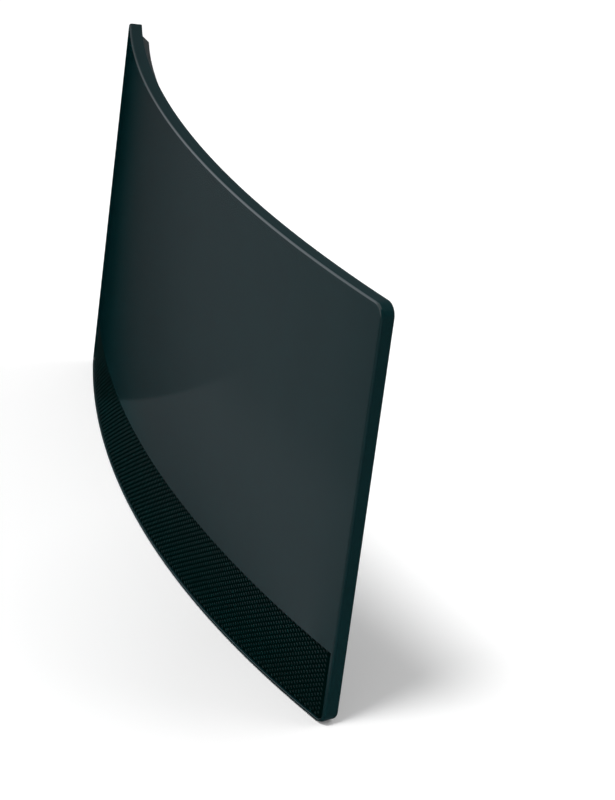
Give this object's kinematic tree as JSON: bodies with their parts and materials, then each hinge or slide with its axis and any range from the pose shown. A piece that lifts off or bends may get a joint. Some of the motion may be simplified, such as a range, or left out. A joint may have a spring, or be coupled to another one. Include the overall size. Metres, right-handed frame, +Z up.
{
  "type": "indoor tv antenna",
  "caption": "Slim curved panel antenna that leans back on a hollow rear foot, with a dotted strip along the bottom of its gloss front and coax and power sockets behind.",
  "frame": {"origin": "on the surface that it stands on, under the middle of its bounding box", "axes": "+X along the panel to the viewer's right, +Y to the back, +Z up; the convex gloss front faces -Y"},
  "size_m": [0.2866, 0.06, 0.129],
  "materials": {
    "front_gloss": "piano gloss, charcoal black",
    "grille_black": "satin black with raised dots",
    "rear_matte": "fine spark texture",
    "screw_steel": "black zinc plate",
    "tinplate": "tin plate",
    "tinned_copper": "tinned",
    "board_green": "solder mask",
    "nickel_plate": "nickel plate",
    "insulator_white": "plain",
    "contact_brass": "plain",
    "jack_black": "plain",
    "pad_rubber": "matt"
  },
  "bodies": {
    "root": {"front_cover": "front_gloss", "grille_strip": "grille_black", "rear_cover": "rear_matte", "case_screws": "screw_steel", "antenna_plate_right": "tinplate", "antenna_plate_left": "tinplate", "feed_lead_right": "tinned_copper", "feed_lead_left": "tinned_copper", "amplifier_board": "board_green", "board_screws": "screw_steel", "shield_can": "tinplate", "coax_jack_body": "nickel_plate", "coax_jack_insulator": "insulator_white", "coax_jack_contact": "contact_brass", "coax_nut": "nickel_plate", "power_jack_body": "jack_black", "power_jack_pin": "contact_brass", "pad_front_right": "pad_rubber", "pad_front_left": "pad_rubber", "pad_rear_left": "pad_rubber", "pad_rear_right": "pad_rubber"}
  },
  "joints": []
}
